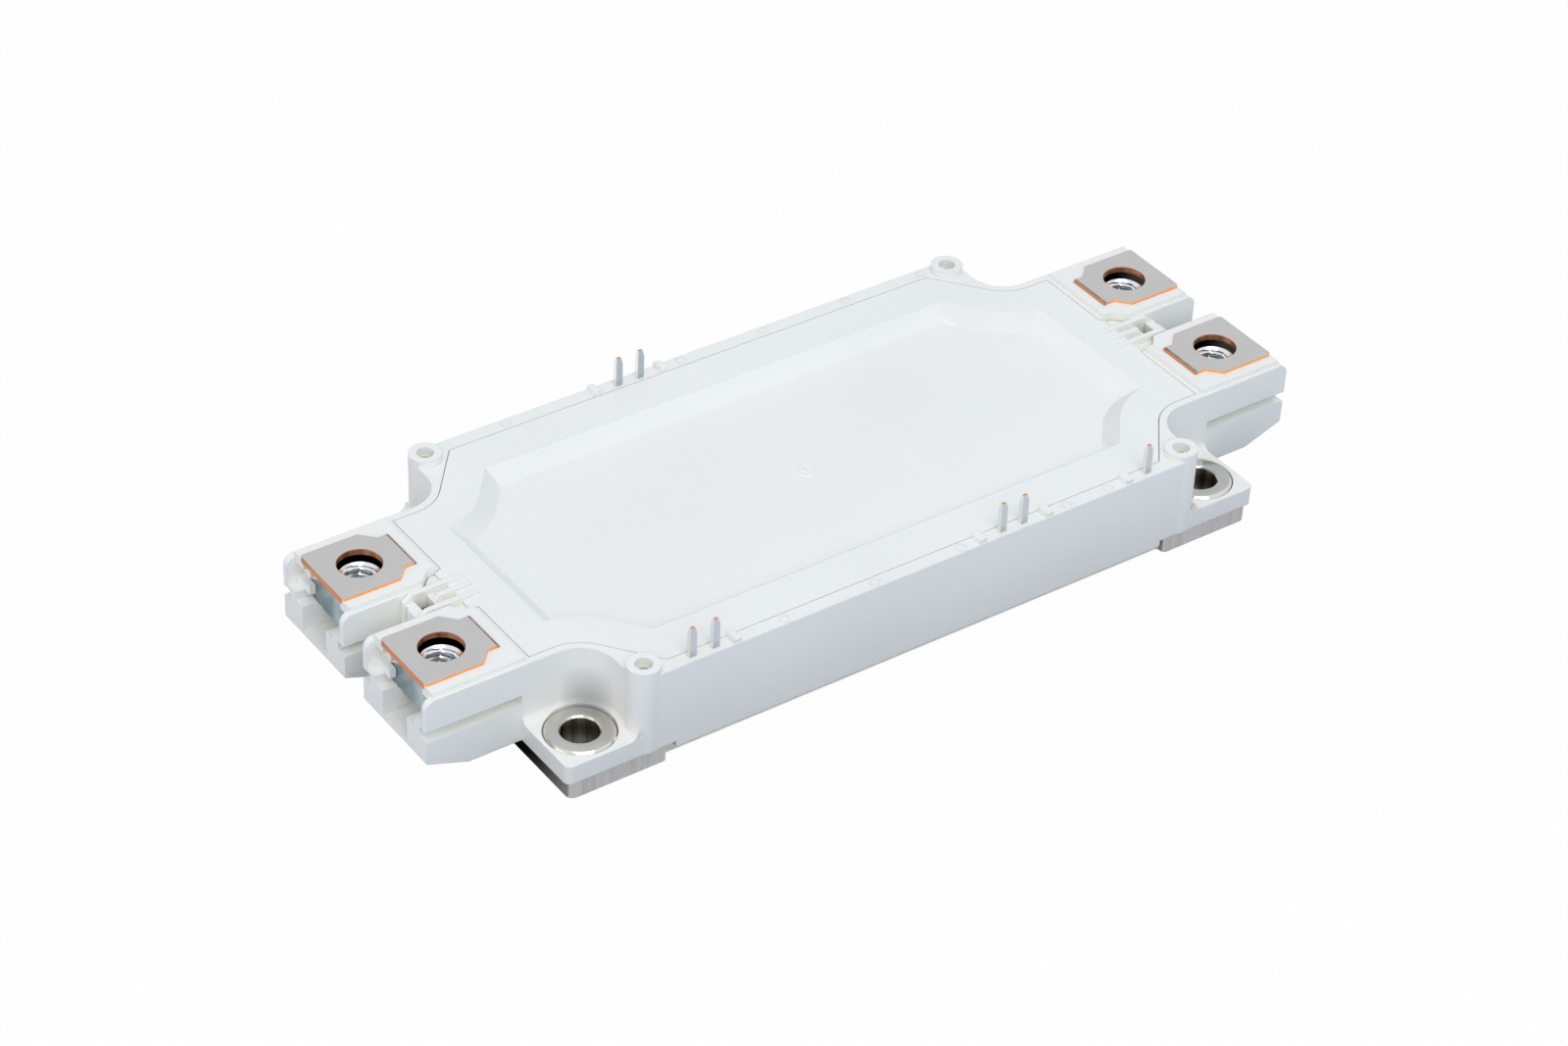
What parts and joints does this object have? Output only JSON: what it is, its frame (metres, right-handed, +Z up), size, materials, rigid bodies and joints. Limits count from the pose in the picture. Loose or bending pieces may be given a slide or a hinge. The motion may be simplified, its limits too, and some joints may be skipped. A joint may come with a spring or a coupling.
{
  "type": "power transistor module",
  "caption": "Flat white power transistor module on a plated base plate, with screw terminals at both ends, control pins along the rims and mounting sleeves at the corners.",
  "frame": {"origin": "centre of the base plate's bottom face", "axes": "+X along the module towards the end away from the paired near-rim control pins, +Y towards the rim with two control pins, +Z up, out of the base plate"},
  "size_m": [0.152, 0.0624, 0.0208],
  "materials": {
    "white_plastic": "satin moulded white thermoplastic",
    "nickel_plate": "nickel-plated copper, sheared edges",
    "plated_copper": "satin nickel on copper, bare copper at the cut edges",
    "zinc_steel": "bright zinc-plated steel",
    "nickel_sleeve": "turned and nickel plated",
    "plated_pin": "tinned strip, bare copper at the cut tip",
    "copper": "matt rolled copper",
    "ceramic": "fired alumina",
    "silicon": "metallised silicon",
    "aluminium_ribbon": "bright rolled ribbon",
    "gel": "clear soft silicone",
    "sensor_body": "dark glazed chip"
  },
  "bodies": {
    "root": {"base_plate": "nickel_plate", "captive_nut_left_far": "zinc_steel", "captive_nut_left_near": "zinc_steel", "captive_nut_right_far": "zinc_steel", "captive_nut_right_near": "zinc_steel", "ceramic_plate_1": "ceramic", "ceramic_plate_2": "ceramic", "ceramic_plate_3": "ceramic", "chip_ribbons_1": "aluminium_ribbon", "chip_ribbons_2": "aluminium_ribbon", "chip_ribbons_3": "aluminium_ribbon", "control_pin_1": "plated_pin", "control_pin_2": "plated_pin", "control_pin_3": "plated_pin", "control_pin_4": "plated_pin", "control_pin_5": "plated_pin", "control_pin_6": "plated_pin", "control_pin_7": "plated_pin", "control_ribbons": "aluminium_ribbon", "copper_tracks_1": "copper", "copper_tracks_2": "copper", "copper_tracks_3": "copper", "copper_underside_1": "copper", "copper_underside_2": "copper", "copper_underside_3": "copper", "diode_chip_far_1": "silicon", "diode_chip_far_2": "silicon", "diode_chip_far_3": "silicon", "diode_chip_near_1": "silicon", "diode_chip_near_2": "silicon", "diode_chip_near_3": "silicon", "gel": "gel", "housing_frame": "white_plastic", "lid": "white_plastic", "mounting_bushing_left_far": "nickel_sleeve", "mounting_bushing_left_near": "nickel_sleeve", "mounting_bushing_right_far": "nickel_sleeve", "mounting_bushing_right_near": "nickel_sleeve", "power_ribbons": "aluminium_ribbon", "screw_terminal_left_far": "plated_copper", "screw_terminal_left_near": "plated_copper", "screw_terminal_right_far": "plated_copper", "screw_terminal_right_near": "plated_copper", "switch_chip_far_1": "silicon", "switch_chip_far_2": "silicon", "switch_chip_far_3": "silicon", "switch_chip_near_1": "silicon", "switch_chip_near_2": "silicon", "switch_chip_near_3": "silicon", "thermistor": "sensor_body"}
  },
  "joints": []
}
